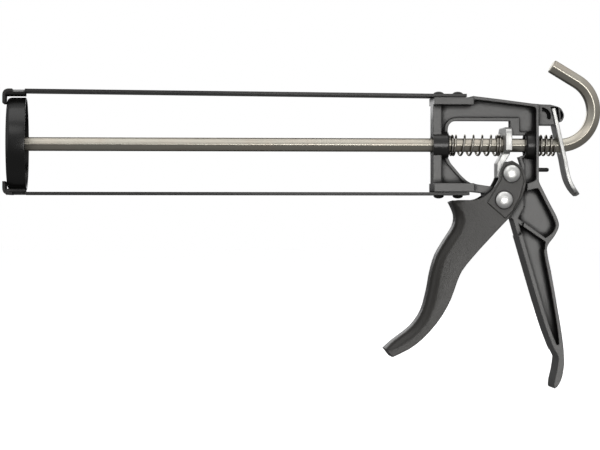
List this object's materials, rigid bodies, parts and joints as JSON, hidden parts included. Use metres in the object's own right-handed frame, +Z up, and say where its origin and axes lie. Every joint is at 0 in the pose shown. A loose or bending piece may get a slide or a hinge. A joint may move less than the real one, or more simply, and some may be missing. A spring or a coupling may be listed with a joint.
{
  "type": "skeleton caulking gun",
  "caption": "Skeleton caulking gun with a two-strip cradle, hooked hexagonal push rod, cup piston, spring-loaded gripping plates and a pull trigger.",
  "frame": {"origin": "middle of the bounding box, on the gun's mid-plane, with the piston fully forward", "axes": "+X back along the push rod, from the nozzle end to the hooked end; +Z up, away from the handle; Y across the gun"},
  "size_m": [0.3094, 0.0474, 0.1706],
  "materials": {
    "casting_paint": "glossy black paint on die casting",
    "strip_paint": "semi-gloss black paint on steel strip",
    "trigger_paint": "satin black paint on pressed steel",
    "cup_paint": "glossy black paint on pressed steel",
    "nickel_steel": "nickel-plated drawn steel",
    "zinc_steel": "bright zinc plate",
    "spring_steel": "bright spring wire",
    "rivet_chrome": "polished domed rivet"
  },
  "bodies": {
    "frame": {"frame_casting": "casting_paint", "top_strip": "strip_paint", "bottom_strip": "strip_paint", "top_rivet_front": "casting_paint", "top_rivet_rear": "casting_paint", "bottom_rivet_front": "casting_paint", "bottom_rivet_rear": "casting_paint", "trigger_pivot_rivet": "rivet_chrome", "main_spring": "spring_steel", "release_spring": "spring_steel"},
    "rod": {"push_rod": "nickel_steel", "piston_cup": "cup_paint", "piston_washer": "zinc_steel", "piston_screw": "zinc_steel"},
    "plate": {"drive_plate": "zinc_steel"},
    "lever": {"release_lever": "zinc_steel"},
    "pull": {"trigger": "trigger_paint", "drive_pin": "rivet_chrome", "drive_sleeve": "zinc_steel"}
  },
  "joints": [
    {"name": "trigger_pivot", "type": "hinge", "parent": "frame", "child": "pull", "pos_m": [0.10266, 0, 0.01227], "axis": [0, -1, 0], "range_deg": [0, 28], "stiffness_Nm_per_rad": 0.6, "springref_deg": -17.19},
    {"name": "drive_plate_slide", "type": "slide", "parent": "frame", "child": "plate", "axis": [-1, 0, 0], "range_m": [0, 0.007], "stiffness_N_per_m": 600, "springref_m": -0.004, "deforming": ["main_spring"]},
    {"name": "rod_slide", "type": "slide", "parent": "frame", "child": "rod", "axis": [1, 0, 0], "range_m": [0, 0.2085]},
    {"name": "release_lever_pivot", "type": "hinge", "parent": "frame", "child": "lever", "pos_m": [0.13076, 0, 0.05217], "axis": [0, 1, 0], "range_deg": [0, 8], "stiffness_Nm_per_rad": 0.4, "springref_deg": -17.19, "deforming": ["release_spring"]}
  ],
  "couplings": [
    {"joint": "drive_plate_slide", "follows": "trigger_pivot", "m_per_rad": 0.01412}
  ]
}
